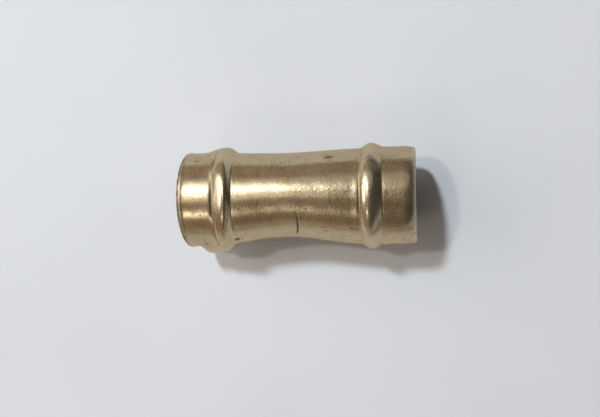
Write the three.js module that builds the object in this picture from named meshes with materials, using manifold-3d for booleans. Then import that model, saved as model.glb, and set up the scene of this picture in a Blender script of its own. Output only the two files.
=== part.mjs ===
// A straight solder-ring coupling for two tubes, formed from one piece of brass tube. Its bore lies along X,
// with the middle of its length at the origin. Millimetres, +Z up, as it lies on a table on its two beads.
// Angles round the bore are measured from the top, and are positive towards -Y.
import * as THREE from "three";
import { mergeVertices } from "three/addons/utils/BufferGeometryUtils.js";
import Module from "manifold-3d";

// Driving dimensions
const TUBE_RADIUS = 7.5; // outside of the tubes that it joins
const TUBE_CLEARANCE = 0.05; // radial gap that the molten solder is drawn into
const WALL = 0.95;
const LENGTH = 41.2;
const SOCKET_DEPTH = 10.2; // from each mouth to where a tube's end comes to rest
const BEAD_RADIUS = 9.44; // over the crest of each bead

const BORE_RADIUS = TUBE_RADIUS + TUBE_CLEARANCE;
const SOCKET_RADIUS = BORE_RADIUS + WALL;
const BEAD_HEIGHT = BEAD_RADIUS - SOCKET_RADIUS;
const MOUTH = LENGTH / 2;
const STOP = MOUTH - SOCKET_DEPTH;

// Mouths: how far the rounded outer edge reaches along the wall, how far it drops, and how much the end is
// flared before it. The right end is rolled inwards, and the left one is cut off with a slight flare.
const LEFT_LIP = { reach: 0.3, drop: 0.3, flare: 0.14 };
const RIGHT_LIP = { reach: 2.1, drop: 0.6, flare: 0 };
const FLARE_LENGTH = 1.5;
const LEAD_IN = 0.12;

// Beads: a rolled ridge near each mouth. Each flank is an arc over the crest that meets an opposite arc at
// the foot. The left bead's outer flank is longer, because the socket has swollen beside it, and its crest
// runs nearer to the middle over the top.
const EVEN_FLANK = { foot: 2.3, crestArc: 2.1 };
const LONG_FLANK = { foot: 3.9, crestArc: 2.8 };
const LEFT_BEAD = { at: -13.3, lowFlank: LONG_FLANK, highFlank: EVEN_FLANK };
const RIGHT_BEAD = { at: 12.8, lowFlank: EVEN_FLANK, highFlank: EVEN_FLANK };
const CREST_SHIFT = { most: 1.1, half: 3, halfAngle: radians(80) };

// Waist: the middle is pressed in from its two sides until no tube passes. It stays straight along the top
// and bottom, and its centre line bows a little to +Y.
const WAIST = { at: -2.2, half: 13.5, depth: 0.86 };
const BOW = { at: -1.5, half: 13, shift: 0.43 };

// Stop marks: two shallow creases pressed across the middle, opposite each other
const CREASE = { at: 0.2, half: 0.35, depth: 0.22, middle: radians(42), halfAngle: radians(26) };

// Swelling of the left socket's wall, on the -Y side: it rises, runs level into the bead, and falls away
const SWELLING = {
  rise: { from: -18.9, to: -17 },
  fall: { from: -14, to: -12 },
  height: 1.5,
  middle: radians(100),
  halfAngle: radians(42),
};
const BLEND_POWER = 4; // how sharply the swelling and the bead beside it meet

// Grooves inside the beads, and the split ring of solder pressed into each
const GROOVE_ARC = 1.2;
const GROOVE_DEPTH = 1;
const RING_GAP = 0.06; // between a ring and its groove
const RING_SPLIT = 0.5; // between a ring's two ends

// How finely the round stretches are divided
const TURN_STEPS = 48;
const SWOLLEN_STEPS = 16;
const FLANK_STEPS = 5;
const WAIST_STEPS = 10;
const NECK_STEPS = 7;
const ARC_STEPS = 6;
const LIP_STEPS = 4;
const OVERRUN = 1; // how far a cutting solid runs past what it cuts

const BRASS = { color: "#b59a62", roughness: 0.34, metalness: 1 };
const SOLDER = { color: "#9a9b9c", roughness: 0.5, metalness: 1 };

const wasm = await Module();
wasm.setup();

function radians(degrees) {
  return THREE.MathUtils.degToRad(degrees);
}

// 1 in the middle of a stretch, falling smoothly to 0 at its two ends.
function hump(distance, half) {
  return Math.abs(distance) < half ? Math.cos((Math.PI / 2) * (distance / half)) ** 2 : 0;
}

// 0 before a stretch, 1 after it, and a smooth step between.
function smooth(x, { from, to }) {
  return THREE.MathUtils.smoothstep(x, from, to);
}

// Evenly spaced values from first to last, with both ends.
function spread(first, last, steps) {
  return Array.from({ length: steps + 1 }, (_, k) => first + ((last - first) * k) / steps);
}

// Height of a bead's flank at a distance from its crest.
function flankHeight(distance, { foot, crestArc }) {
  if (distance >= foot) return 0;
  const turn = 2 * Math.atan(BEAD_HEIGHT / foot);
  const footArc = foot / Math.sin(turn) - crestArc;
  if (distance < crestArc * Math.sin(turn)) {
    return BEAD_HEIGHT - crestArc + Math.sqrt(crestArc ** 2 - distance ** 2);
  }
  return footArc - Math.sqrt(footArc ** 2 - (foot - distance) ** 2);
}

function beadHeight(x, bead) {
  return flankHeight(Math.abs(x - bead.at), x < bead.at ? bead.lowFlank : bead.highFlank);
}

// How deep the waist is at its two sides.
function waistDepth(x) {
  return WAIST.depth * hump(x - WAIST.at, WAIST.half);
}

// From 0 on the plain wall to 1 on a bead's crest.
function beadShare(x) {
  return (beadHeight(x, LEFT_BEAD) + beadHeight(x, RIGHT_BEAD)) / BEAD_HEIGHT;
}

// Outside radius at the sides, before any dent: the beads rise to one height, whatever the waist does there.
function sideRadius(x) {
  const base = SOCKET_RADIUS - waistDepth(x);
  return base + (BEAD_RADIUS - base) * beadShare(x);
}

// Stations along X between the two lips, closer together where the section changes quickly.
function outsideStations() {
  const swollenFrom = -MOUTH + LEFT_LIP.reach;
  const waistFrom = LEFT_BEAD.at + LEFT_BEAD.highFlank.foot;
  const waistTo = RIGHT_BEAD.at - RIGHT_BEAD.lowFlank.foot;
  const rightSocketFrom = RIGHT_BEAD.at + RIGHT_BEAD.highFlank.foot;
  const creaseEdges = [CREASE.at - CREASE.half, CREASE.at, CREASE.at + CREASE.half];
  const waist = spread(waistFrom, waistTo, WAIST_STEPS).slice(1, -1);
  const besideCrease = waist.filter((x) => Math.abs(x - CREASE.at) > 2 * CREASE.half);
  return [
    ...spread(swollenFrom, LEFT_BEAD.at, SWOLLEN_STEPS).slice(1),
    ...spread(LEFT_BEAD.at, waistFrom, FLANK_STEPS).slice(1),
    ...[...besideCrease, ...creaseEdges].sort((a, b) => a - b),
    ...spread(waistTo, RIGHT_BEAD.at, FLANK_STEPS),
    ...spread(RIGHT_BEAD.at, rightSocketFrom, FLANK_STEPS).slice(1),
  ];
}

// The rounded edge of one mouth, from the socket's outside round to the mouth's flat face.
function lip(side, { reach, drop, flare }) {
  return spread(0, Math.PI / 2, LIP_STEPS).map(
    (turn) =>
      new THREE.Vector2(
        SOCKET_RADIUS + flare - drop * (1 - Math.cos(turn)),
        side * (MOUTH - reach * (1 - Math.sin(turn))),
      ),
  );
}

// How far the wall stands out near the left mouth.
function flaredRadius(x) {
  const end = { from: MOUTH - FLARE_LENGTH, to: MOUTH - LEFT_LIP.reach };
  return sideRadius(x) + LEFT_LIP.flare * smooth(-x, end);
}

function outsideProfile() {
  return [
    new THREE.Vector2(0, -MOUTH),
    ...lip(-1, LEFT_LIP).reverse(),
    ...outsideStations().map((x) => new THREE.Vector2(flaredRadius(x), x)),
    ...lip(1, RIGHT_LIP),
    new THREE.Vector2(0, MOUTH),
  ];
}

// The arc of a groove, or of the ring in it, from one side of the bead to the other. It stops at innerRadius.
function grooveArc(at, arc, innerRadius) {
  const centre = BORE_RADIUS + GROOVE_DEPTH - GROOVE_ARC;
  const widest = Math.acos((innerRadius - centre) / arc);
  return spread(-widest, widest, ARC_STEPS).map(
    (turn) => new THREE.Vector2(centre + arc * Math.cos(turn), at + arc * Math.sin(turn)),
  );
}

// The neck between the stops, at its sides, keeps the wall's thickness under the waist.
function neckRadius(x) {
  return BORE_RADIUS - waistDepth(x);
}

function boreProfile() {
  const mouthRadius = BORE_RADIUS + LEAD_IN;
  const neck = spread(-STOP, STOP, NECK_STEPS).slice(1, -1);
  return [
    new THREE.Vector2(0, -MOUTH - OVERRUN),
    new THREE.Vector2(mouthRadius, -MOUTH - OVERRUN),
    new THREE.Vector2(mouthRadius, -MOUTH),
    new THREE.Vector2(BORE_RADIUS, -MOUTH + LEAD_IN),
    ...grooveArc(LEFT_BEAD.at, GROOVE_ARC, BORE_RADIUS),
    new THREE.Vector2(BORE_RADIUS, -STOP),
    ...neck.map((x) => new THREE.Vector2(neckRadius(x), x)),
    new THREE.Vector2(BORE_RADIUS, STOP),
    ...grooveArc(RIGHT_BEAD.at, GROOVE_ARC, BORE_RADIUS),
    new THREE.Vector2(BORE_RADIUS, MOUTH - LEAD_IN),
    new THREE.Vector2(mouthRadius, MOUTH),
    new THREE.Vector2(mouthRadius, MOUTH + OVERRUN),
    new THREE.Vector2(0, MOUTH + OVERRUN),
  ];
}

// Turns a profile of (radius, station) points about X. A flat of the turned solid faces straight down.
function turned(profile) {
  const halfStep = Math.PI / TURN_STEPS;
  return new THREE.LatheGeometry(profile, TURN_STEPS, halfStep).rotateZ(-Math.PI / 2);
}

// The waist is pressed in at the sides only, so elsewhere the wall stands out from the side's section.
function waistRelief(x, angle) {
  return waistDepth(x) * Math.cos(angle) ** 2;
}

// How far the wall stands out at a place because the socket has swollen there, beyond the bead's own height.
function swellingHeight(x, angle) {
  const { rise, fall, height, middle, halfAngle } = SWELLING;
  const swollen = height * smooth(x, rise) * (1 - smooth(x, fall)) * hump(angle - middle, halfAngle);
  const bead = BEAD_HEIGHT * beadShare(x);
  return (bead ** BLEND_POWER + swollen ** BLEND_POWER) ** (1 / BLEND_POWER) - bead;
}

// How deep the wall is pressed in at a place by a stop mark. The two marks are half a turn apart.
function creaseDepth(x, angle) {
  const fromMiddle = Math.abs(angle - CREASE.middle);
  const nearest = Math.min(fromMiddle, Math.abs(Math.PI - fromMiddle));
  return CREASE.depth * hump(x - CREASE.at, CREASE.half) * hump(nearest, CREASE.halfAngle);
}

function outsideShape(x, angle) {
  return waistRelief(x, angle) * (1 - beadShare(x)) + swellingHeight(x, angle) - creaseDepth(x, angle);
}

function boreShape(x, angle) {
  return Math.abs(x) < STOP ? waistRelief(x, angle) : 0;
}

// How far a place on the left bead is moved towards the middle.
function crestShift(x, angle) {
  return CREST_SHIFT.most * hump(x - LEFT_BEAD.at, CREST_SHIFT.half) * hump(angle, CREST_SHIFT.halfAngle);
}

function noShift() {
  return 0;
}

// Moves each vertex outwards by height(x, angle), along the bore by shift(x, angle), and sideways with the
// bow of the waist.
function shaped(geometry, height, shift) {
  const position = geometry.getAttribute("position");
  for (let i = 0; i < position.count; i++) {
    const x = position.getX(i);
    const y = position.getY(i);
    const z = position.getZ(i);
    const radius = Math.hypot(y, z);
    const angle = Math.atan2(-y, z);
    const stretch = radius > 0 ? 1 + height(x, angle) / radius : 1;
    const bow = BOW.shift * hump(x - BOW.at, BOW.half);
    position.setXYZ(i, x + shift(x, angle), y * stretch + bow, z * stretch);
  }
  return geometry;
}

// A closed geometry as a solid that can be cut.
function solidOf(geometry) {
  const bare = geometry.clone();
  bare.deleteAttribute("normal");
  bare.deleteAttribute("uv");
  const merged = mergeVertices(bare);
  return new wasm.Manifold(
    new wasm.Mesh({
      numProp: 3,
      vertProperties: merged.attributes.position.array,
      triVerts: new Uint32Array(merged.index.array),
    }),
  );
}

// What is left of the first geometry when the second is cut away.
function cut(geometry, tool) {
  const { vertProperties, triVerts } = solidOf(geometry).subtract(solidOf(tool)).getMesh();
  const left = new THREE.BufferGeometry();
  left.setAttribute("position", new THREE.BufferAttribute(vertProperties, 3));
  left.setIndex(new THREE.BufferAttribute(triVerts, 1));
  left.computeVertexNormals();
  return left;
}

function piece(name, geometry, finish) {
  const mesh = new THREE.Mesh(geometry, new THREE.MeshStandardMaterial(finish));
  mesh.name = name;
  return mesh;
}

function couplingBody() {
  const outside = shaped(turned(outsideProfile()), outsideShape, crestShift);
  const bore = shaped(turned(boreProfile()), boreShape, noShift);
  return piece("coupling_body", cut(outside, bore), BRASS);
}

// A split ring: the groove's arc outside and a flat inside, level with the bore, with a gap at the top.
function solderRing(name, bead) {
  const section = grooveArc(bead.at, GROOVE_ARC - RING_GAP, BORE_RADIUS + RING_GAP / 2);
  const ring = turned([...section, section[0]]);
  const split = new THREE.BoxGeometry(2 * GROOVE_ARC, RING_SPLIT, BEAD_RADIUS);
  split.translate(bead.at, 0, BEAD_RADIUS / 2);
  return piece(name, cut(ring, split), SOLDER);
}

const group = new THREE.Group();
group.add(couplingBody());
group.add(solderRing("solder_ring_left", LEFT_BEAD));
group.add(solderRing("solder_ring_right", RIGHT_BEAD));

export default group;
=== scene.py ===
# A worn brass solder-ring coupling lying on pale paper, seen from nearly straight above.
# Shapes are worked out in millimetres and degrees, and meshes are made in metres, in the CAD frame.
# The part lies along X. A direction round it is counted from the top, and grows towards -Y, the front.
import math
from collections import namedtuple
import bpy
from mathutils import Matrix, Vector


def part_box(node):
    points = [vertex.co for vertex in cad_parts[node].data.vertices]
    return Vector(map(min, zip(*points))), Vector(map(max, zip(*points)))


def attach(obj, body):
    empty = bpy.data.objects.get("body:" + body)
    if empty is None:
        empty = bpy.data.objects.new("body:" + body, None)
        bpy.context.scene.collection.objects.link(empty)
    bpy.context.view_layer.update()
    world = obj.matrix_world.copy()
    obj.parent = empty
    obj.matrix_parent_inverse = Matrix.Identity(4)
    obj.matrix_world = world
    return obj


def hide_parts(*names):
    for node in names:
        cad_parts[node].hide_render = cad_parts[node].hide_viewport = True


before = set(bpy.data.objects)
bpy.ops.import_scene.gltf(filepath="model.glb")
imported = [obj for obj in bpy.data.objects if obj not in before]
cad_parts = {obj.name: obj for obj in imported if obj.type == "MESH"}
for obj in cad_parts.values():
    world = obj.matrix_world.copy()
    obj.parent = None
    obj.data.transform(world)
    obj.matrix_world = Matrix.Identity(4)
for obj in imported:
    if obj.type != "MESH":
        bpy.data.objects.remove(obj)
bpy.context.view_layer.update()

from types import SimpleNamespace

import bpy
import numpy as np
from mathutils import Matrix, Vector

MM = 0.001

# ---------------------------------------------------------------- driving sizes
# From the frame
BODY_LOW, BODY_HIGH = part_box("coupling_body")
MOUTH = BODY_HIGH.x / MM
BEAD_RADIUS = BODY_HIGH.z / MM
LEFT_RING_LOW, LEFT_RING_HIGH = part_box("solder_ring_left")
RIGHT_RING_LOW, RIGHT_RING_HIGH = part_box("solder_ring_right")
LEFT_BEAD = (LEFT_RING_LOW.x + LEFT_RING_HIGH.x) / 2 / MM
RIGHT_BEAD = (RIGHT_RING_LOW.x + RIGHT_RING_HIGH.x) / 2 / MM

# What the frame can't give
SOCKET_RADIUS = 8.5
BORE_RADIUS = 7.55
STOP = 10.4  # how far from the middle each tube stops
COLUMNS = 284  # how many directions round the part the mesh has
SIDE = 90.0  # the direction of the front side


# ---------------------------------------------------------------- simple curves
def smooth(start, end, value):
    """0 before start, 1 beyond end, and a smooth step between. It works downwards too."""
    share = np.clip((value - start) / (end - start), 0, 1)
    return share * share * (3 - 2 * share)


def hump(distance, half):
    """1 in the middle of a stretch, falling smoothly to 0 at its two ends."""
    return np.where(np.abs(distance) < half, np.cos(np.pi / 2 * distance / half) ** 2, 0.0)


def bell(distance, width):
    """1 in the middle, dying away on both sides without an end."""
    return np.exp(-((distance / width) ** 2))


def turned(angle, middle):
    """How far round from a direction, between -180 and 180 degrees."""
    return (angle - middle + 180) % 360 - 180


def apart(angle, middle):
    return np.abs(turned(angle, middle))


# ---------------------------------------------------------------- waist and bow
# The middle of each stretch, half its length, and how far the wall moves there
WAIST_AT = -2.2
WAIST_HALF = 13.5
WAIST_DEPTH = 0.86
BOW_AT = -1.5
BOW_HALF = 13.0
BOW_SHIFT = 0.43


def pressed_in(x, angle):
    """How deep the middle is pressed in: from its two sides only, so its top and bottom stay straight."""
    return WAIST_DEPTH * hump(x - WAIST_AT, WAIST_HALF) * np.sin(np.radians(angle)) ** 2


def bow(x):
    """How far the middle stands off sideways."""
    return BOW_SHIFT * hump(x - BOW_AT, BOW_HALF)


# ---------------------------------------------------------------- beads
# A bead's flanks along X from its ring's middle, and how full each is.
# The lower a flank's fullness, the flatter the crest beside it.
Bead = namedtuple("Bead", "low_foot crest high_foot low_fullness high_fullness")
LEFT_BEAD_AT_SIDE = Bead(-4.2, 0.0, 1.95, 0.85, 0.6)
LEFT_BEAD_ON_TOP = Bead(-0.9, 1.45, 2.45, 0.85, 0.6)
RIGHT_BEAD_AT_SIDE = Bead(-2.0, 0.0, 2.05, 0.85, 0.6)
RIGHT_BEAD_ON_TOP = Bead(-1.55, 0.0, 2.2, 0.45, 0.5)
BEADS = (
    (LEFT_BEAD, LEFT_BEAD_AT_SIDE, LEFT_BEAD_ON_TOP),
    (RIGHT_BEAD, RIGHT_BEAD_AT_SIDE, RIGHT_BEAD_ON_TOP),
)
BEAD_TOP_HALF = 80  # how far round from the top a bead's shape there still tells


def bead_rise(x, angle, at, side, top):
    """From 1 on a bead's crest to 0 at its two feet, changing in shape from the sides to the top."""
    share = hump(apart(angle, 0), BEAD_TOP_HALF)
    bead = Bead(*[at_side + (on_top - at_side) * share for at_side, on_top in zip(side, top)])
    from_crest = x - at - bead.crest
    reach = np.where(from_crest < 0, bead.crest - bead.low_foot, bead.high_foot - bead.crest)
    fullness = np.where(from_crest < 0, bead.low_fullness, bead.high_fullness)
    return hump(from_crest, reach) ** fullness


# ---------------------------------------------------------------- swelling
SWELLING_RISE = 1.5
SWELLING_MIDDLE = 100
SWELLING_HALF = 42
SWELLING_FULLNESS = 0.8
SWELLING_OUTER_END = (1.7, 3.6)  # from the left mouth
SWELLING_INNER_END = (8.6, 6.6)
SWELLING_BLEND = 4  # the higher, the sharper the line where it meets the bead
FULL_SOCKET_RISE = 0.15
FULL_SOCKET_MIDDLE = 95
FULL_SOCKET_HALF = 60


def swelling(x, angle):
    """A flat-topped swelling low on the front of the left bead, in a socket that is a little full there."""
    from_mouth = x + MOUTH
    inner_end = smooth(*SWELLING_INNER_END, from_mouth)
    ends = smooth(*SWELLING_OUTER_END, from_mouth) * inner_end
    across = hump(apart(angle, SWELLING_MIDDLE), SWELLING_HALF) ** SWELLING_FULLNESS
    full_socket = FULL_SOCKET_RISE * inner_end * hump(apart(angle, FULL_SOCKET_MIDDLE), FULL_SOCKET_HALF)
    return np.maximum(SWELLING_RISE * ends * across, full_socket)


def wall_radius(x, angle):
    """Outside radius of the wall before any mark."""
    base = SOCKET_RADIUS - pressed_in(x, angle)
    beads = (BEAD_RADIUS - base) * sum(bead_rise(x, angle, *bead) for bead in BEADS)
    return base + (beads**SWELLING_BLEND + swelling(x, angle) ** SWELLING_BLEND) ** (1 / SWELLING_BLEND)


# ---------------------------------------------------------------- marks of the stop
CREASE_MIDDLE = 42.0
CREASE_AT = 0.5
CREASE_DEPTH = 0.24
CREASE_WIDTH = 0.16
CREASE_BOW = 0.0009  # millimetres per square degree
CREASE_BOW_MIDDLE = -9  # degrees from the crease's middle
CREASE_FADE = (22, 12)  # degrees from the crease's middle
RIDGE_OFF_CREASE = 0.42
RIDGE_HEIGHT = 0.03
RIDGE_WIDTH = 0.2


def crease(x, angle):
    """A narrow bowed crease across the middle, with a slight ridge beside it, and the same opposite."""
    depth = 0
    for middle in (CREASE_MIDDLE, CREASE_MIDDLE + 180):
        round_way = turned(angle, middle)
        at = CREASE_AT - CREASE_BOW * (round_way - CREASE_BOW_MIDDLE) ** 2
        groove = CREASE_DEPTH * bell(x - at, CREASE_WIDTH)
        ridge = RIDGE_HEIGHT * bell(x - at - RIDGE_OFF_CREASE, RIDGE_WIDTH)
        depth = depth + smooth(*CREASE_FADE, np.abs(round_way)) * (groove - ridge)
    return depth


# ---------------------------------------------------------------- dents
# A dent's place along X, its direction, half its length along X and round the part, and its depth
Dent = namedtuple("Dent", "at turn half_along half_round depth")
DENTS = (
    Dent(6.0, -53, 0.5, 0.2, 0.26),
    Dent(5.4, -50, 0.35, 0.14, 0.14),
    Dent(-11.0, 64, 0.3, 0.34, 0.24),
    Dent(-10.6, 61, 0.4, 0.18, 0.12),
    Dent(12.0, -42, 0.4, 0.15, 0.1),
    Dent(-17.6, -51.5, 0.45, 0.14, 0.1),
    Dent(-2.3, -41, 0.14, 0.3, 0.08),
    Dent(5.5, 46.6, 0.32, 0.16, 0.08),
    Dent(9.8, 40, 0.28, 0.22, 0.1),
    Dent(-16.6, 67, 0.16, 0.35, 0.08),
    Dent(10.9, 67, 0.2, 0.35, 0.1),
    Dent(-20.0, 49, 0.2, 0.5, 0.07),
)


def dents(x, angle):
    depth = 0
    for dent in DENTS:
        along = bell(x - dent.at, dent.half_along)
        arc = np.radians(turned(angle, dent.turn)) * SOCKET_RADIUS
        depth = depth + dent.depth * along * bell(arc, dent.half_round)
    return depth


# ---------------------------------------------------------------- lines beside the beads
# Lines that the rolling tools left, metal that they pushed up (a negative depth), and how dark each is
# painted: painted shade in its groove, with some dirt
FootLine = namedtuple("FootLine", "at width depth darkness")
FOOT_LINES = (
    FootLine(LEFT_BEAD - 0.9, 0.3, 0.14, 1.0),
    FootLine(LEFT_BEAD + 2.5, 0.16, 0.012, 0.25),
    FootLine(RIGHT_BEAD - 1.9, 0.7, -0.06, 0.0),
    FootLine(RIGHT_BEAD - 1.4, 0.2, 0.06, 0.6),
    FootLine(RIGHT_BEAD + 2.35, 0.16, 0.012, 0.2),
)
FOOT_SHADE_WIDTH = 0.14
FOOT_FADE = (75, 40)  # degrees from the top: they fade out down both sides


def foot_lines(x, angle):
    across = sum(line.depth * bell(x - line.at, line.width) for line in FOOT_LINES)
    return across * smooth(*FOOT_FADE, apart(angle, 0))


# Painted shade, with some dirt, in the grooves beside the beads, fading out down both sides
def foot_shade_and_dirt(x, angle):
    across = sum(line.darkness * bell(x - line.at, FOOT_SHADE_WIDTH) for line in FOOT_LINES)
    return across * smooth(*FOOT_FADE, apart(angle, 0))


# ---------------------------------------------------------------- the whole outside
# A wave's height, how many there are in one turn, its slant in radians per millimetre along X, and its phase
Wave = namedtuple("Wave", "height count slant phase")
WAVES = (
    Wave(0.012, 2, 0.35, 0),
    Wave(0.008, 3, -0.62, 1),
    Wave(0.006, 5, 0.9, 2),
    Wave(0.004, 7, -1.7, 0),
)
LEFT_FLARE = 0.16
LEFT_FLARE_REACH = (1.2, 0.1)  # from the left mouth
RIGHT_FLARE = 0.17
RIGHT_FLARE_REACH = 2  # from the right bead
MARKS_FADE = 1.5  # from each mouth, which no mark reaches


def unevenness(x, angle):
    """The gentle waves of a wall that was drawn and rolled by hand-fed tools."""
    t = np.radians(angle)
    return sum(wave.height * np.sin(wave.count * t + wave.slant * x + wave.phase) for wave in WAVES)


def flare(x):
    """The left end opens a little, and the right socket is fuller beyond its bead."""
    left = LEFT_FLARE * smooth(*LEFT_FLARE_REACH, x + MOUTH)
    return left + RIGHT_FLARE * smooth(RIGHT_BEAD, RIGHT_BEAD + RIGHT_FLARE_REACH, x)


def outside_offset(x, angle):
    """How far the outside stands off its section at the side."""
    around = wall_radius(x, angle) - wall_radius(x, SIDE)
    marks = unevenness(x, angle) - crease(x, angle) - dents(x, angle) - foot_lines(x, angle)
    return around + flare(x) + marks * smooth(MOUTH, MOUTH - MARKS_FADE, np.abs(x))


# ---------------------------------------------------------------- the bore between the stops
STOP_SLOPE = 0.8


def neck_share(x):
    """1 between the two stops, where the bore follows the pressed wall, and 0 in the sockets."""
    return smooth(STOP, STOP - STOP_SLOPE, np.abs(x))


def neck_offset(x, angle):
    """How far the bore stands off its section at the side."""
    return (pressed_in(x, SIDE) - pressed_in(x, angle)) * neck_share(x)


# ---------------------------------------------------------------- the wall's section, as (radius, station)
# A rounded mouth: how far it reaches along the wall, and how far it drops
LEFT_LIP = (0.3, 0.3)
RIGHT_LIP = (2.1, 0.6)
BORE_EDGE = 0.16  # the rounding of the bore's edge
SOCKET_STARTS = 0.6  # from the mouth
GROOVE_ARC = 1.2  # the radius of a groove's round section
GROOVE_DEPTH = 1.0
GROOVE_HALF = 1.4

# How many stations each stretch has, and how far round a narrow mark they come closer
OUTSIDE_STATIONS = 150
STATION_DECIMALS = 3
FOOT_LINE_STATIONS = 9
FOOT_LINE_REACH = 0.4
CREASE_STATIONS = 22
CREASE_REACH = (-0.3, 1.1)
LEFT_LIP_STEPS = 9
RIGHT_LIP_STEPS = 18
BORE_EDGE_STEPS = 6
SOCKET_STEPS = 8
GROOVE_STEPS = 14
NECK_STEPS = 40


def straight(start, end, steps):
    """A stretch of plain bore."""
    return np.full(steps, BORE_RADIUS), np.linspace(start, end, steps)


def arc_points(centre_radius, centre_x, size, start, end, steps):
    """An arc from one direction to another: 0 degrees points outwards, and 90 along X."""
    turn = np.radians(np.linspace(start, end, steps))
    return centre_radius + size * np.cos(turn), centre_x + size * np.sin(turn)


def groove_arc(at, size, inner_radius, steps):
    """The arc of a groove, or of the ring in it, between its two ends at an inner radius."""
    centre = BORE_RADIUS + GROOVE_DEPTH - GROOVE_ARC
    widest = math.degrees(math.acos((inner_radius - centre) / size))
    return arc_points(centre, at, size, -widest, widest, steps)


def lip(end, reach, drop, steps):
    """The rounded edge of a mouth, from the end face (end is -1 or 1) to the plain wall."""
    turn = np.linspace(0, np.pi / 2, steps)
    return SOCKET_RADIUS - drop * (1 - np.sin(turn)), end * (MOUTH - reach * (1 - np.cos(turn)))


def reverse(part):
    return part[0][::-1], part[1][::-1]


def outside_stations():
    """Stations along the outside: even, and closer where something narrow is."""
    plain = np.linspace(LEFT_LIP[0] - MOUTH, MOUTH - RIGHT_LIP[0], OUTSIDE_STATIONS)
    at_crease = np.linspace(*CREASE_REACH, CREASE_STATIONS)
    at_lines = [
        np.linspace(line.at - FOOT_LINE_REACH, line.at + FOOT_LINE_REACH, FOOT_LINE_STATIONS)
        for line in FOOT_LINES
    ]
    stations = np.unique(np.round(np.concatenate([plain, at_crease, *at_lines]), STATION_DECIMALS))
    return stations[1:-1]  # the lips make the first and the last


def outside_section():
    """The outside, from the left mouth to the right one."""
    stations = outside_stations()
    return [
        lip(-1, *LEFT_LIP, LEFT_LIP_STEPS),
        (wall_radius(stations, SIDE), stations),
        reverse(lip(1, *RIGHT_LIP, RIGHT_LIP_STEPS)),
    ]


def bore_section():
    """The bore, from the right mouth back to the left one."""
    edge_radius = BORE_RADIUS + BORE_EDGE
    edge_at = MOUTH - BORE_EDGE
    neck = np.linspace(STOP, -STOP, NECK_STEPS)
    return [
        arc_points(edge_radius, edge_at, BORE_EDGE, 90, 180, BORE_EDGE_STEPS),
        straight(MOUTH - SOCKET_STARTS, RIGHT_BEAD + GROOVE_HALF, SOCKET_STEPS),
        reverse(groove_arc(RIGHT_BEAD, GROOVE_ARC, BORE_RADIUS, GROOVE_STEPS)),
        (BORE_RADIUS - pressed_in(neck, SIDE) * neck_share(neck), neck),
        reverse(groove_arc(LEFT_BEAD, GROOVE_ARC, BORE_RADIUS, GROOVE_STEPS)),
        straight(LEFT_BEAD - GROOVE_HALF, SOCKET_STARTS - MOUTH, SOCKET_STEPS),
        arc_points(edge_radius, -edge_at, BORE_EDGE, 180, 270, BORE_EDGE_STEPS),
    ]


# ---------------------------------------------------------------- meshes
def add_object(name, data):
    made = bpy.data.objects.new(name, data)
    bpy.context.scene.collection.objects.link(made)
    return made


def grid_mesh(name, points, close_columns):
    """A smooth mesh over a grid of points in millimetres: its rows always close up, and its columns may."""
    rows, columns = points.shape[:2]
    index = np.arange(rows * columns).reshape(rows, columns)
    down = np.roll(index, -1, 0)
    right = np.roll(index, -1, 1)
    corner = np.roll(down, -1, 1)
    faces = np.stack([index, right, corner, down], -1)
    if not close_columns:
        faces = faces[:, :-1]
    mesh = bpy.data.meshes.new(name)
    mesh.from_pydata((points.reshape(-1, 3) * MM).tolist(), [], faces.reshape(-1, 4).tolist())
    mesh.polygons.foreach_set("use_smooth", np.ones(len(mesh.polygons), bool))
    mesh.update()
    return add_object(name, mesh)


def add_attribute(mesh, name, values):
    attribute = mesh.attributes.new(name, "FLOAT", "POINT")
    attribute.data.foreach_set("value", np.ascontiguousarray(values.ravel(), np.float32))


# ---------------------------------------------------------------- coupling body
CUT_EDGE = (0.7, 0.3)  # from the left mouth
CUT_EDGE_WEAR = 0.8
ROLLED_EDGE = (0.7, 0.2)  # from the right mouth
CREST_STARTS = 0.35  # above the sockets
# How deep a crease or a dent must be for its painted shade to be full
DARK_CREASE = 0.2  # the depth that is fully dark
DARK_DENT = 0.1


def add_wear_and_shade(mesh, x, angle, r, outside):
    """Tells the brass where the wall is darkened, where it is worn bright, and what is inside. The darkening
    is painted shade in the crease and dents, painted shade with some dirt in the grooves beside the beads,
    and a darker left mouth; the bright rims are partly a painted highlight.
    """
    cut_edge = smooth(*CUT_EDGE, x + MOUTH)
    rolled_edge = smooth(*ROLLED_EDGE, MOUTH - x)
    # Painted shade: the crease and the dents are darkened by their depth
    marks = crease(x, angle) / DARK_CREASE + dents(x, angle) / DARK_DENT
    # Painted shade with some dirt in the grooves beside the beads, and the left mouth made darker
    dirt = foot_shade_and_dirt(x, angle) + marks + cut_edge
    add_attribute(mesh, "dirt", np.clip(dirt * outside, 0, 1))
    add_attribute(mesh, "crest", smooth(SOCKET_RADIUS + CREST_STARTS, BEAD_RADIUS, r) * outside)
    # Worn bright, and partly a painted highlight: the rims are made lighter where they catch the light
    add_attribute(mesh, "edge", np.maximum(rolled_edge, CUT_EDGE_WEAR * cut_edge) * outside)
    add_attribute(mesh, "inside", 1 - outside)


def coupling_body():
    """The wall's section swept round the part, and shaped direction by direction."""
    outside_parts = outside_section()
    parts = outside_parts + bore_section()
    radius = np.concatenate([part[0] for part in parts])
    station = np.concatenate([part[1] for part in parts])
    x, angle = np.meshgrid(station, np.arange(COLUMNS) * 360 / COLUMNS, indexing="ij")
    outside = np.zeros_like(x, bool)
    outside[: sum(len(part[0]) for part in outside_parts)] = True
    r = radius[:, None] + np.where(outside, outside_offset(x, angle), neck_offset(x, angle))
    t = np.radians(angle)
    points = np.stack([x, -r * np.sin(t) + bow(x), r * np.cos(t)], -1)
    piece = grid_mesh("coupling_body_brass", points, True)
    add_wear_and_shade(piece.data, x, angle, r, outside)
    return piece


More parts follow.
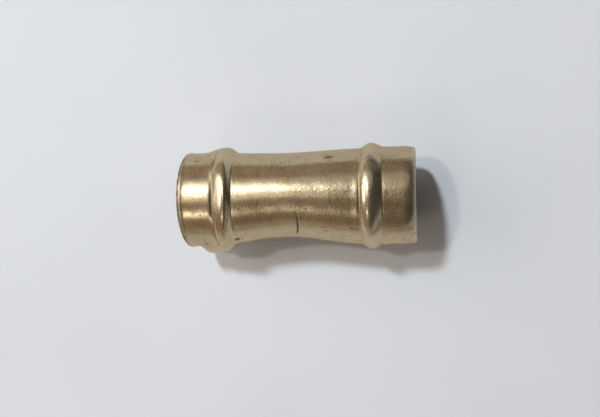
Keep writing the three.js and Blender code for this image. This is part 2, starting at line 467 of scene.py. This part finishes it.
# ---------------------------------------------------------------- solder rings
RING_GAP = 0.06  # between a ring and its groove
RING_SPLIT = 4.0
# Degrees from the cut, and the share of its full size that the section has there
RING_ROUNDED_END = ((0.0, 0.0), (0.15, 0.55), (0.5, 0.85), (1.2, 1.0))
RING_PLAIN_START = 1.8  # degrees from the cut
RING_WOBBLE = 0.03
RING_WAVES = (9, 14)  # in one turn
RING_ARC_STEPS = 15
RING_FLAT_STEPS = 9
RING_TURN_STEPS = 200


def ring_section(at):
    """The groove's arc outside, and a flat inside level with the bore."""
    inner = BORE_RADIUS + RING_GAP / 2
    arc_radius, arc_station = groove_arc(at, GROOVE_ARC - RING_GAP, inner, RING_ARC_STEPS)
    flat_station = np.linspace(arc_station[-1], arc_station[0], RING_FLAT_STEPS)[1:-1]
    radius = np.concatenate([arc_radius, np.full_like(flat_station, inner)])
    station = np.concatenate([arc_station, flat_station])
    return radius[:, None], station[:, None], inner


def ring_sweep():
    """Directions round a split ring, and the size of its section at each: its cut ends are rounded."""
    lead, lead_share = np.array(RING_ROUNDED_END).T
    sweep = 360 - RING_SPLIT
    plain = np.linspace(RING_PLAIN_START, sweep - RING_PLAIN_START, RING_TURN_STEPS)
    angle = np.concatenate([lead, plain, sweep - lead[::-1]]) + RING_SPLIT / 2
    share = np.concatenate([lead_share, np.ones(RING_TURN_STEPS), lead_share[::-1]])
    return angle, share


def solder_ring(name, at):
    """A split ring of solder wire, a little uneven, in its groove."""
    radius, station, inner = ring_section(at)
    angle, share = ring_sweep()
    t = np.radians(angle)
    slow, fast = RING_WAVES
    wobble = 1 + RING_WOBBLE * np.sin(slow * t) * np.sin(fast * t + 1)
    middle_radius = (radius.max() + inner) / 2
    r = np.maximum(middle_radius + (radius - middle_radius) * share * wobble, inner)
    x = at + (station - at) * share
    return grid_mesh(name, np.stack([x, -r * np.sin(t), r * np.cos(t)], -1), False)


# ---------------------------------------------------------------- node trees
class Nodes:
    """Short calls for building the node tree of a material or a world. Lengths are in millimetres."""

    # A Mix node's colour sockets share their names with its number ones, so they are taken by place
    MIX_A = 6
    MIX_B = 7
    MIX_RESULT = 2
    PIT_CORE = 0.4  # the share of a pit's size that is fully dark

    def __init__(self, owner):
        owner.use_nodes = True
        self.owner = owner
        self.tree = owner.node_tree
        self.place = self.add("ShaderNodeTexCoord").outputs

    def add(self, kind, **settings):
        node = self.tree.nodes.new(kind)
        for key, value in settings.items():
            setattr(node, key, value)
        return node

    def link(self, source, socket):
        """Link an output to a socket, or set the socket to a number or colour."""
        if hasattr(source, "is_linked"):
            self.tree.links.new(source, socket)
        else:
            socket.default_value = source

    def shade(self, **values):
        """Set or link the surface shader's own sockets, named with _ for a space."""
        shader = self.tree.nodes["Principled BSDF"]
        for name, value in values.items():
            self.link(value, shader.inputs[name.replace("_", " ")])

    def stretched(self, scale, turn=0.0):
        """Places on the object, turned about Z, then multiplied by scale along each axis."""
        node = self.add("ShaderNodeMapping", vector_type="POINT")
        node.inputs["Scale"].default_value = [s / MM for s in scale]
        node.inputs["Rotation"].default_value = (0, 0, math.radians(turn))
        self.link(self.place["Object"], node.inputs["Vector"])
        return node.outputs["Vector"]

    def along_x(self, vector):
        split = self.add("ShaderNodeSeparateXYZ")
        self.link(vector, split.inputs["Vector"])
        return split.outputs["X"]

    def noise(self, scale, detail, roughness, distortion=0.0, turn=0.0):
        """Cloudy noise around 0.5, with about scale patches per millimetre along each axis."""
        node = self.add("ShaderNodeTexNoise")
        self.link(self.stretched(scale, turn), node.inputs["Vector"])
        node.inputs["Scale"].default_value = 1
        node.inputs["Detail"].default_value = detail
        node.inputs["Roughness"].default_value = roughness
        node.inputs["Distortion"].default_value = distortion
        return node.outputs["Fac"]

    def ramp(self, source, low, high, to_low=0.0, to_high=1.0, kind="LINEAR"):
        """Turns low into to_low and high into to_high, and goes no further."""
        node = self.add("ShaderNodeMapRange", interpolation_type=kind)
        self.link(source, node.inputs["Value"])
        node.inputs["From Min"].default_value = low
        node.inputs["From Max"].default_value = high
        node.inputs["To Min"].default_value = to_low
        node.inputs["To Max"].default_value = to_high
        return node.outputs["Result"]

    def math(self, operation, a, b=0.0):
        node = self.add("ShaderNodeMath", operation=operation)
        self.link(a, node.inputs[0])
        self.link(b, node.inputs[1])
        return node.outputs["Value"]

    def times(self, a, b):
        return self.math("MULTIPLY", a, b)

    def larger(self, a, b):
        return self.math("MAXIMUM", a, b)

    def mix(self, share, a, b):
        node = self.add("ShaderNodeMix", data_type="RGBA")
        self.link(share, node.inputs["Factor"])
        self.link(a, node.inputs[self.MIX_A])
        self.link(b, node.inputs[self.MIX_B])
        return node.outputs[self.MIX_RESULT]

    def attribute(self, name):
        return self.add("ShaderNodeAttribute", attribute_name=name).outputs["Fac"]

    def pits(self, per_mm, size, chance):
        """Small round spots scattered over the surface: 1 inside a spot."""
        node = self.add("ShaderNodeTexVoronoi")
        self.link(self.stretched((per_mm, per_mm, per_mm)), node.inputs["Vector"])
        node.inputs["Scale"].default_value = 1
        near = self.ramp(node.outputs["Distance"], size, size * self.PIT_CORE)
        split = self.add("ShaderNodeSeparateColor")
        self.link(node.outputs["Color"], split.inputs["Color"])
        kept = self.math("LESS_THAN", split.outputs["Red"], chance)
        return self.times(near, kept)

    def scratches(self, turn, width):
        """Fine lines running one way, in patches. A line is where a stretched noise crosses 0.5."""
        streaks = self.noise((1.1, 0.12, 0.5), detail=2, roughness=0.5, turn=turn)
        off_line = self.math("ABSOLUTE", self.math("SUBTRACT", streaks, 0.5))
        line = self.ramp(off_line, width, 0.0)
        patches = self.noise((0.35, 0.35, 0.35), detail=2, roughness=0.5)
        return self.times(line, self.ramp(patches, 0.52, 0.6))

    def bump(self, height, strength, distance, after=None):
        """A bump on top of another. A negative strength sinks in."""
        node = self.add("ShaderNodeBump")
        self.link(height, node.inputs["Height"])
        node.inputs["Strength"].default_value = strength
        node.inputs["Distance"].default_value = distance * MM
        if after is not None:
            self.link(after, node.inputs["Normal"])
        return node.outputs["Normal"]


# ---------------------------------------------------------------- brass
BRASS = (0.51, 0.41, 0.262, 1)
PALE_BRASS = (0.57, 0.475, 0.318, 1)
BROWN_BRASS = (0.42, 0.325, 0.2, 1)
RUBBED_BRASS = (0.66, 0.56, 0.4, 1)
# Worn rims, made lighter in part as a painted highlight where they catch the light
BRIGHT_BRASS = (0.8, 0.73, 0.6, 1)
BORE_BRASS = (0.4, 0.28, 0.16, 1)
GLANCING_BRASS = (0.86, 0.79, 0.68, 1)
SPOT = (0.2, 0.14, 0.08, 1)
SPECK = (0.3, 0.21, 0.12, 1)
SCRATCH = (0.28, 0.19, 0.11, 1)
# Painted shade in the grooves, crease and dents, with some dirt
GROOVE_SHADE_AND_DIRT = (0.12, 0.085, 0.055, 1)
OXIDE = (0.16, 0.1, 0.06, 1)
TARNISH_GROWS = (-4, 6)  # along X: the right half is rougher with tarnish


def brass_marks(n):
    """Every pattern that the brass's colour, roughness and bumps use, from 0 to 1."""
    marks = SimpleNamespace(
        dirt=n.attribute("dirt"),
        crest=n.attribute("crest"),
        edge=n.attribute("edge"),
        inside=n.attribute("inside"),
        clouds=n.noise((0.16, 0.22, 0.22), detail=5, roughness=0.65, distortion=0.6),
        blotches=n.noise((0.7, 0.9, 0.9), detail=4, roughness=0.6),
        grain=n.noise((6, 6, 6), detail=3, roughness=0.6),
        drawn_lines=n.noise((0.25, 5, 5), detail=3, roughness=0.55),
        turned_lines=n.noise((9, 0.3, 0.3), detail=3, roughness=0.5),
        pebbles=n.noise((1.6, 1.6, 1.6), detail=3, roughness=0.6),
        spots=n.pits(per_mm=0.9, size=0.16, chance=0.35),
        specks=n.pits(per_mm=1.5, size=0.2, chance=0.4),
        scratches=n.larger(n.scratches(turn=28, width=0.04), n.scratches(turn=-52, width=0.03)),
    )
    marks.tarnish = n.ramp(n.along_x(n.stretched((1, 1, 1))), *TARNISH_GROWS, 0.35, 1.0)
    # Painted shade with some dirt, broken up in patches
    marks.old_dirt = n.times(marks.dirt, n.ramp(marks.blotches, 0.3, 0.6, 0.35, 1.0))
    stains = n.noise((0.25, 0.6, 0.6), detail=5, roughness=0.55, distortion=0.1)
    marks.oxide = n.times(marks.inside, n.ramp(stains, 0.42, 0.68))
    return marks


def brass_tone(n, marks):
    """Two clouded tones of brass under layers of wear, with painted shade in the grooves, crease and dents,
    and rims made lighter, partly as a painted highlight.
    """
    tone = n.mix(n.ramp(marks.clouds, 0.35, 0.65), BRASS, PALE_BRASS)
    tone = n.mix(n.ramp(marks.blotches, 0.45, 0.75, 0.0, 0.45), tone, BROWN_BRASS)
    layers = (
        (marks.crest, 0.3, RUBBED_BRASS),
        # Worn rims, partly a painted highlight
        (marks.edge, 0.7, BRIGHT_BRASS),
        (marks.spots, 0.8, SPOT),
        (marks.specks, 0.5, SPECK),
        (marks.scratches, 0.5, SCRATCH),
        # Painted shade in the grooves, crease and dents, with some dirt
        (marks.old_dirt, 0.8, GROOVE_SHADE_AND_DIRT),
        (marks.inside, 0.6, BORE_BRASS),
        (marks.oxide, 0.5, OXIDE),
    )
    for where, share, color in layers:
        tone = n.mix(n.times(where, share), tone, color)
    return tone


def brass_roughness(n, marks):
    """A satin metal, rougher wherever it is worn, dirty or darkened with painted shade."""
    rough = n.ramp(marks.clouds, 0.3, 0.7, 0.21, 0.27)
    rough = n.math("ADD", rough, n.ramp(marks.grain, 0.3, 0.7, -0.03, 0.05))
    layers = (
        (marks.spots, 0.25),
        (marks.old_dirt, 0.35),
        (marks.edge, 0.3),
        (marks.inside, 0.18),
        (marks.oxide, 0.2),
    )
    for where, extra in layers:
        rough = n.math("ADD", rough, n.times(where, extra))
    return rough


def brass_bumps(n, marks):
    """Bumps from broad to fine, each on the last: pattern, strength, height."""
    deeper_inside = n.ramp(marks.inside, 0.0, 1.0, 1.0, 3.0)
    layers = (
        (n.times(marks.pebbles, marks.tarnish), 0.5, 0.06),
        (marks.drawn_lines, 0.25, 0.012),
        (n.times(marks.turned_lines, deeper_inside), 0.2, 0.01),
        (marks.grain, 0.4, 0.012),
        (marks.scratches, -0.5, 0.02),
        (n.larger(marks.spots, marks.specks), -0.6, 0.04),
    )
    normal = None
    for height, strength, distance in layers:
        normal = n.bump(height, strength, distance, normal)
    return normal


def brass():
    n = Nodes(bpy.data.materials.new("worn_brass"))
    marks = brass_marks(n)
    n.shade(
        Base_Color=brass_tone(n, marks),
        Roughness=brass_roughness(n, marks),
        Normal=brass_bumps(n, marks),
        Metallic=1.0,
        Specular_Tint=GLANCING_BRASS,
    )
    return n.owner


# ---------------------------------------------------------------- solder and paper
DARK_SOLDER = (0.33, 0.33, 0.33, 1)
PALE_SOLDER = (0.5, 0.5, 0.49, 1)
GREY_PAPER = (0.725, 0.74, 0.76, 1)
PALE_PAPER = (0.765, 0.78, 0.8, 1)


def solder():
    n = Nodes(bpy.data.materials.new("dull_solder"))
    clouds = n.noise((0.8, 0.8, 0.8), detail=4, roughness=0.6)
    grain = n.noise((7, 7, 7), detail=3, roughness=0.6)
    n.shade(
        Base_Color=n.mix(n.ramp(clouds, 0.35, 0.65), DARK_SOLDER, PALE_SOLDER),
        Roughness=n.ramp(clouds, 0.3, 0.7, 0.42, 0.6),
        Normal=n.bump(grain, 0.5, 0.03, n.bump(clouds, 0.5, 0.08)),
        Metallic=1.0,
    )
    return n.owner


def paper():
    n = Nodes(bpy.data.materials.new("pale_paper"))
    clouds = n.noise((0.02, 0.02, 0.02), detail=3, roughness=0.5)
    fibres = n.noise((1.5, 1.5, 1.5), detail=5, roughness=0.6)
    n.shade(
        Base_Color=n.mix(n.ramp(clouds, 0.3, 0.7), GREY_PAPER, PALE_PAPER),
        Roughness=0.85,
        Normal=n.bump(fibres, 0.15, 0.05),
    )
    return n.owner


# ---------------------------------------------------------------- stage, light and camera
# In metres
FLOOR_HALF = 0.6
FLOOR_GAP = 0.00002
LAMP_DISTANCE = 0.8
CAMERA_CLIP = (0.005, 10)

# What a light shows in: everything, only its mirror image in the metal, or only the light that it casts
ALL = "all"
MIRRORED = "mirrored"
CAST = "cast"

# Name, lean off straight above along X and Y, how wide it looks, radiance, colour, what it shows in.
# Windows and lamps make the highlights and the shadows, and the glows are the pale walls of the room.
LIGHTS = (
    ("high_window", (-16.8, 22.0), (4.0, 10), 11, (0.9, 1.0, 1.1), ALL),
    ("high_window_fill", (-16.2, 24.7), (3.5, 8), 245, (0.9, 1.0, 1.1), CAST),
    ("far_lamp", (-22.5, 10), (4.5, 6), 13, (1.05, 1.0, 0.98), ALL),
    ("far_lamp_fill", (-22.5, 10), (3.5, 4), 118, (1.05, 1.0, 0.98), CAST),
    ("window_glow", (-27, 27), (21, 40), 3.0, (0.94, 1.0, 1.06), MIRRORED),
    ("ceiling_glow", (3, 36), (42, 40), 0.34, (1.0, 1.0, 0.98), MIRRORED),
    ("left_softbox", (-57, 22), (48, 36), 3.0, (0.96, 1.0, 1.06), MIRRORED),
    ("left_fill", (-62, 22), (58, 36), 1.4, (1.0, 0.98, 0.96), CAST),
    ("under_window", (-15, 0), (11, 18), 1.2, (1.0, 0.98, 0.9), MIRRORED),
    ("low_lamp", (-28, -36), (13, 8), 6.2, (1.0, 0.98, 0.93), ALL),
    ("low_lamp_end", (-18, -43), (7, 7), 1.5, (1.0, 0.95, 0.87), MIRRORED),
    ("front_glow", (0, -82), (80, 11), 0.25, (1.0, 0.94, 0.82), MIRRORED),
    ("back_glow", (0, 72), (80, 22), 0.12, (1.0, 0.97, 0.9), MIRRORED),
    ("right_glow", (67, -67), (70, 16), 0.4, (1.0, 0.96, 0.88), MIRRORED),
)

# The room is warm, and darker to the right. The camera sees a pale backdrop beyond the paper.
ROOM_LEFT = (0.345, 0.265, 0.187, 1)
ROOM_RIGHT = (0.08, 0.078, 0.08, 1)
ROOM_DARKENS = (-0.45, 0.25)  # the X of a direction of length 1
BACKDROP = (0.68, 0.69, 0.71, 1)

CAMERA_PLACE = (21.4, -2.0, 128.5)
CAMERA_LEAN = 9.52  # to the left
CAMERA_ROLL = -1.05
CAMERA_LENS = 43.3
CAMERA_SENSOR = 36


def floor(z):
    mesh = bpy.data.meshes.new("floor")
    h = FLOOR_HALF
    mesh.from_pydata([(-h, -h, z), (h, -h, z), (h, h, z), (-h, h, z)], [], [(0, 1, 2, 3)])
    mesh.materials.append(paper())
    piece = add_object("floor", mesh)


def looks_wide(degrees):
    """The width of a lamp that looks some degrees wide from the part."""
    return 2 * LAMP_DISTANCE * math.tan(math.radians(degrees / 2))


def soft_light(name, lean, spread, radiance, color, shows_in):
    """An oval area light. Its power comes from its radiance, so it looks as bright at any size."""
    lamp = bpy.data.lights.new(name, "AREA")
    lamp.shape = "ELLIPSE"
    lamp.size = looks_wide(spread[0])
    lamp.size_y = looks_wide(spread[1])
    area = math.pi * lamp.size * lamp.size_y / 4
    lamp.energy = radiance * math.pi * area
    lamp.color = color
    holder = add_object(name, lamp)
    towards = Vector((math.tan(math.radians(lean[0])), math.tan(math.radians(lean[1])), 1)).normalized()
    holder.location = towards * LAMP_DISTANCE
    holder.rotation_mode = "QUATERNION"
    holder.rotation_quaternion = towards.to_track_quat("Z", "Y")
    holder.visible_camera = False
    holder.visible_glossy = shows_in != CAST
    holder.visible_diffuse = shows_in != MIRRORED


def room_light():
    """What the metal mirrors where no lamp stands, behind a plain backdrop."""
    world = bpy.data.worlds.new("room")
    n = Nodes(world)
    across = n.ramp(n.along_x(n.place["Generated"]), *ROOM_DARKENS, kind="SMOOTHSTEP")
    room = n.mix(across, ROOM_LEFT, ROOM_RIGHT)
    seen = n.add("ShaderNodeLightPath").outputs["Is Camera Ray"]
    n.link(n.mix(seen, room, BACKDROP), n.tree.nodes["Background"].inputs["Color"])
    bpy.context.scene.world = world


def camera():
    """Nearly straight above, a little to the right, and leaning back to the left."""
    data = bpy.data.cameras.new("camera")
    data.sensor_width = CAMERA_SENSOR
    data.lens = CAMERA_LENS
    data.clip_start, data.clip_end = CAMERA_CLIP
    holder = add_object("camera", data)
    place = Matrix.Translation(Vector(CAMERA_PLACE) * MM)
    lean = Matrix.Rotation(math.radians(CAMERA_LEAN), 4, "Y")
    roll = Matrix.Rotation(math.radians(CAMERA_ROLL), 4, "Z")
    holder.matrix_world = place @ lean @ roll
    bpy.context.scene.camera = holder


# ---------------------------------------------------------------- the whole scene
def finish_piece(piece, material, node):
    piece.data.materials.append(material)
    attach(piece, "root")
    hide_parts(node)


camera()
finish_piece(coupling_body(), brass(), "coupling_body")
ring_material = solder()
for ring_node, ring_at in (("solder_ring_left", LEFT_BEAD), ("solder_ring_right", RIGHT_BEAD)):
    finish_piece(solder_ring(ring_node + "_wire", ring_at), ring_material, ring_node)

floor(BODY_LOW.z - FLOOR_GAP)
for light in LIGHTS:
    soft_light(*light)
room_light()
bpy.context.scene.view_settings.view_transform = "Standard"
